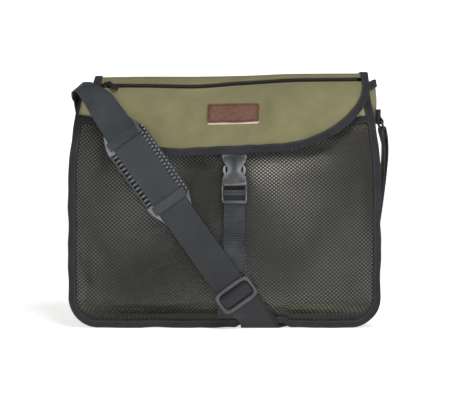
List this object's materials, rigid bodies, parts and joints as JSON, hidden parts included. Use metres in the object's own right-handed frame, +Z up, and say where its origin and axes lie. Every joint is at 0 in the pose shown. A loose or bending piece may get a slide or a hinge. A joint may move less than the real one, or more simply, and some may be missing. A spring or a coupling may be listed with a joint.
{
  "type": "game bag",
  "caption": "Canvas shoulder bag with a bound flap, a net pocket over its front, a side-release buckle and a padded webbing strap laid across it.",
  "frame": {"origin": "on the floor below the middle of the whole part's box", "axes": "+X to the right seen from the front, +Y to the back, +Z up; the net pocket faces -Y"},
  "size_m": [0.3864, 0.1258, 0.3078],
  "materials": {
    "olive_canvas": "matt olive woven canvas",
    "black_net": "knotted black net",
    "binding_tape": "folded black woven tape",
    "webbing": "dark grey ribbed webbing",
    "black_plastic": "satin moulded black plastic",
    "pad_rubber": "matt dark grey moulded rubber",
    "label_leather": "plain brown leather",
    "zip_nylon": "black nylon coil and tape"
  },
  "bodies": {
    "root": {"front_panel": "olive_canvas", "back_panel": "olive_canvas", "gusset": "olive_canvas", "flap": "olive_canvas", "net_pocket": "black_net", "front_binding": "binding_tape", "back_binding": "binding_tape", "pocket_binding": "binding_tape", "flap_binding": "binding_tape", "gusset_binding_left": "binding_tape", "gusset_binding_right": "binding_tape", "zip_tape": "zip_nylon", "zip_coil": "zip_nylon", "zip_slider": "black_plastic", "zip_pull": "black_plastic", "leather_label": "label_leather", "buckle_tab": "webbing", "buckle_socket": "black_plastic", "buckle_plug": "black_plastic", "closure_strap": "webbing", "shoulder_strap": "webbing", "shoulder_pad": "pad_rubber", "pad_keeper_upper": "pad_rubber", "pad_keeper_lower": "pad_rubber", "strap_slider": "black_plastic", "strap_ring": "black_plastic", "ring_tab": "webbing"}
  },
  "joints": []
}
